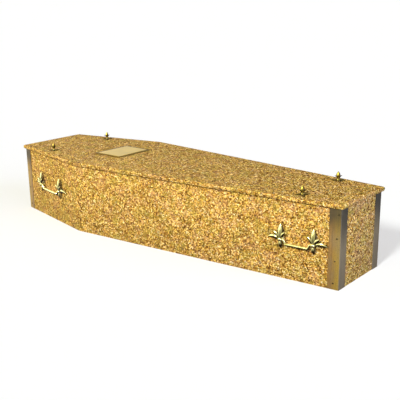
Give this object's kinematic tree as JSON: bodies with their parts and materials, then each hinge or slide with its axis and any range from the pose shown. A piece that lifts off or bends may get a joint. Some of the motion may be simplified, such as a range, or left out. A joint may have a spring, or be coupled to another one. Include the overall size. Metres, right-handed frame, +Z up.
{
  "type": "coffin",
  "caption": "Full-size six-sided adult coffin, hollow, with a loose flat lid, swing bail handles, corner angles and upright lid ornaments.",
  "frame": {"origin": "on the floor under the middle of the box, at the centre of its bounding box", "axes": "+X along the length towards the foot end, +Y across, +Z up"},
  "size_m": [1.9234, 0.6176, 0.3901],
  "materials": {
    "glitter_board": "gold glitter over board",
    "polished_brass": "polished",
    "bronze_sheet": "satin brushed, bronzed",
    "nail_brass": "satin",
    "dark_backing": "dark brown satin",
    "pale_brass": "brushed"
  },
  "bodies": {
    "coffin": {"base_board": "glitter_board", "side_board_near": "glitter_board", "side_board_far": "glitter_board", "head_board": "glitter_board", "foot_board": "glitter_board", "lid": "glitter_board", "nameplate_backing": "dark_backing", "nameplate": "pale_brass", "corner_angle_head_near": "bronze_sheet", "corner_angle_head_far": "bronze_sheet", "corner_angle_foot_near": "bronze_sheet", "corner_angle_foot_far": "bronze_sheet", "angle_nail_head_near_1": "nail_brass", "angle_nail_head_near_2": "nail_brass", "angle_nail_head_near_3": "nail_brass", "angle_nail_head_near_4": "nail_brass", "angle_nail_head_far_1": "nail_brass", "angle_nail_head_far_2": "nail_brass", "angle_nail_head_far_3": "nail_brass", "angle_nail_head_far_4": "nail_brass", "angle_nail_foot_near_1": "nail_brass", "angle_nail_foot_near_2": "nail_brass", "angle_nail_foot_near_3": "nail_brass", "angle_nail_foot_near_4": "nail_brass", "angle_nail_foot_far_1": "nail_brass", "angle_nail_foot_far_2": "nail_brass", "angle_nail_foot_far_3": "nail_brass", "angle_nail_foot_far_4": "nail_brass", "wreath_holder_head_near": "polished_brass", "wreath_holder_head_far": "polished_brass", "wreath_holder_foot_near": "polished_brass", "wreath_holder_foot_far": "polished_brass", "handle_plate_head_near_left": "polished_brass", "handle_plate_head_near_right": "polished_brass", "handle_plate_head_far_left": "polished_brass", "handle_plate_head_far_right": "polished_brass", "handle_plate_foot_near_left": "polished_brass", "handle_plate_foot_near_right": "polished_brass", "handle_plate_foot_far_left": "polished_brass", "handle_plate_foot_far_right": "polished_brass"},
    "bail_head_near": {"bail_head_near": "polished_brass"},
    "bail_head_far": {"bail_head_far": "polished_brass"},
    "bail_foot_near": {"bail_foot_near": "polished_brass"},
    "bail_foot_far": {"bail_foot_far": "polished_brass"}
  },
  "joints": [
    {"name": "bail_head_near_swing", "type": "hinge", "parent": "coffin", "child": "bail_head_near", "pos_m": [-0.6751, -0.25725, 0.17], "axis": [-0.9784, 0.2069, 0], "range_deg": [-15, 90]},
    {"name": "bail_head_far_swing", "type": "hinge", "parent": "coffin", "child": "bail_head_far", "pos_m": [-0.6751, 0.25725, 0.17], "axis": [0.9784, 0.2069, 0], "range_deg": [-15, 90]},
    {"name": "bail_foot_near_swing", "type": "hinge", "parent": "coffin", "child": "bail_foot_near", "pos_m": [0.77425, -0.19415, 0.17], "axis": [-0.9952, -0.0978, 0], "range_deg": [-15, 90]},
    {"name": "bail_foot_far_swing", "type": "hinge", "parent": "coffin", "child": "bail_foot_far", "pos_m": [0.77425, 0.19415, 0.17], "axis": [0.9952, -0.0978, 0], "range_deg": [-15, 90]}
  ]
}
